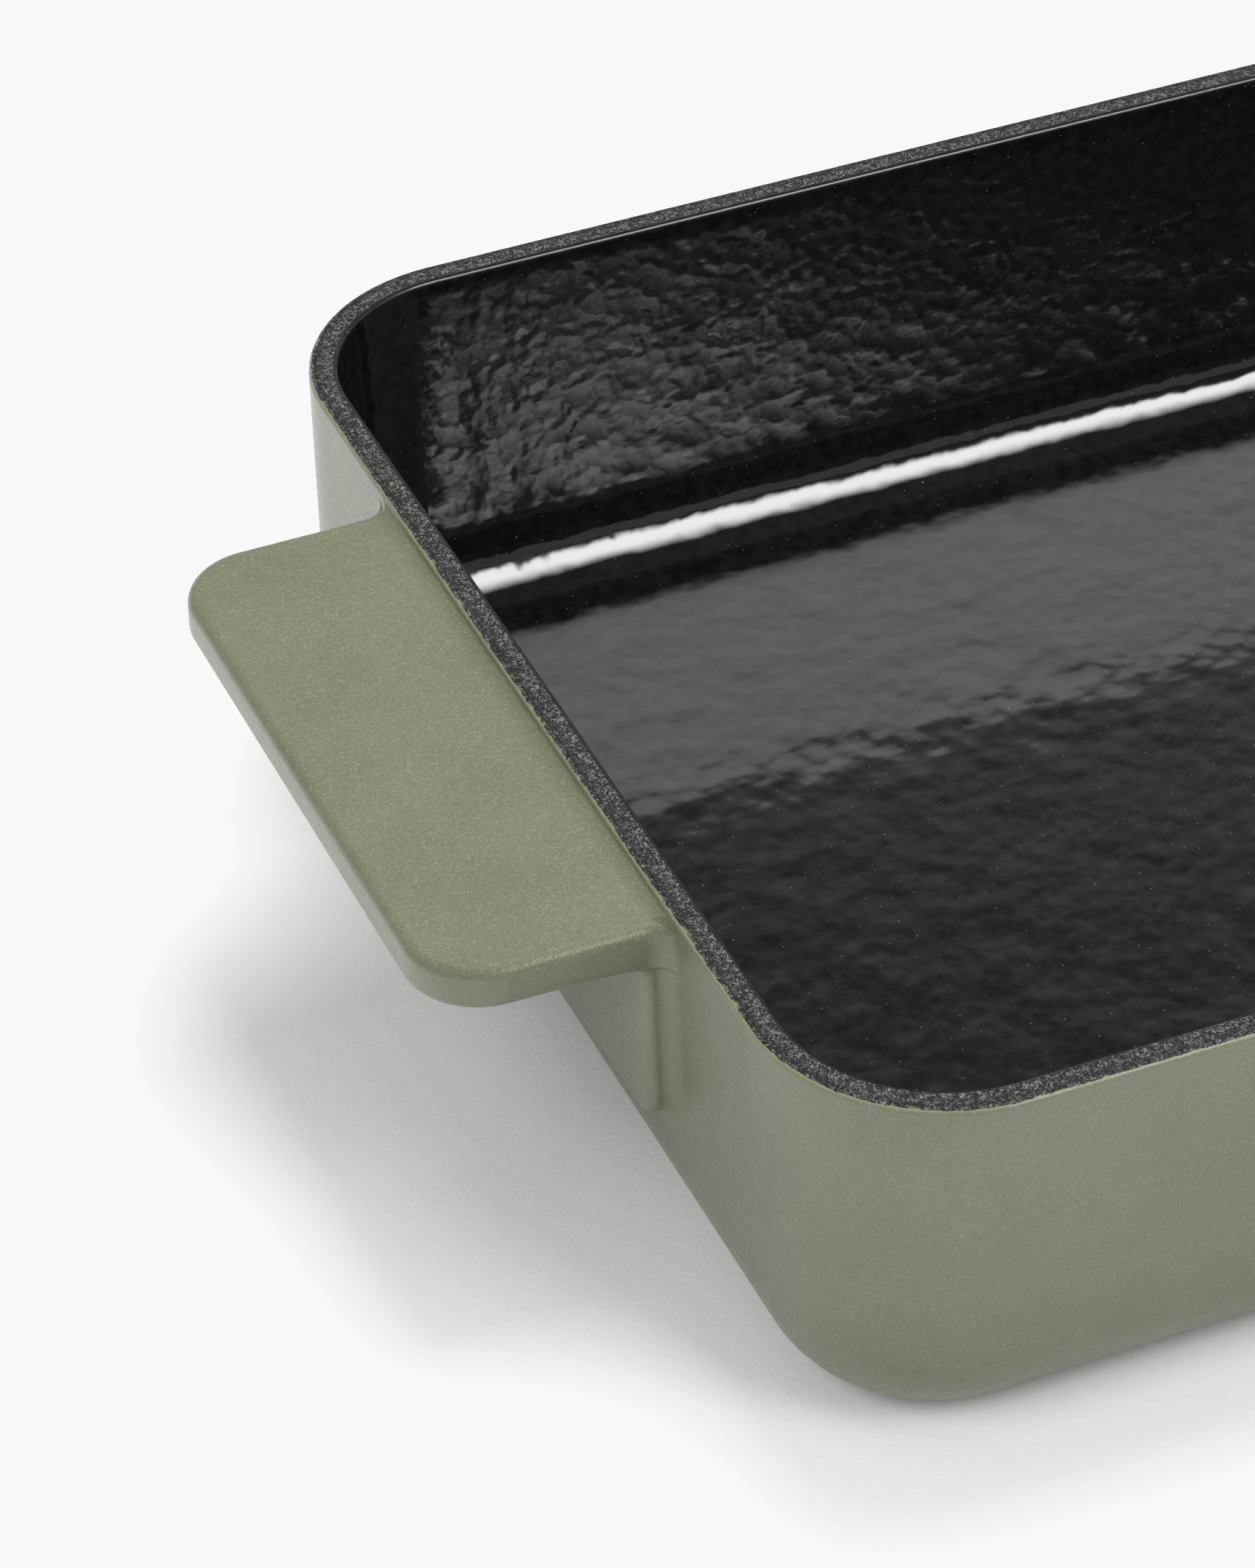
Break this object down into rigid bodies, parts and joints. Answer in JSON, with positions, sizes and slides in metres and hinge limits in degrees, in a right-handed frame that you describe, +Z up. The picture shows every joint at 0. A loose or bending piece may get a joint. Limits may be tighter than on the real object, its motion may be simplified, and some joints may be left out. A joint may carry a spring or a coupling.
{
  "type": "roasting pan",
  "caption": "Rectangular enamelled cast-iron roasting pan with rounded corners, a ground rim and a flat tongue handle on each short side; holds food for the oven and table.",
  "frame": {"origin": "middle of the flat underside that the pan stands on", "axes": "+X along the pan from handle to handle, +Y across it, +Z up out of the open top"},
  "size_m": [0.4166, 0.24, 0.068],
  "materials": {
    "iron": "as cast, under the coats",
    "green_enamel": "satin, with a fine orange-peel grain",
    "black_enamel": "gloss, slightly wavy",
    "ground_coat": "matt, speckled and slightly pitted"
  },
  "bodies": {
    "root": {"iron_casting": "iron", "exterior_enamel": "green_enamel", "interior_enamel": "black_enamel", "rim_ground_coat": "ground_coat", "base_ground_coat": "ground_coat"}
  },
  "joints": []
}
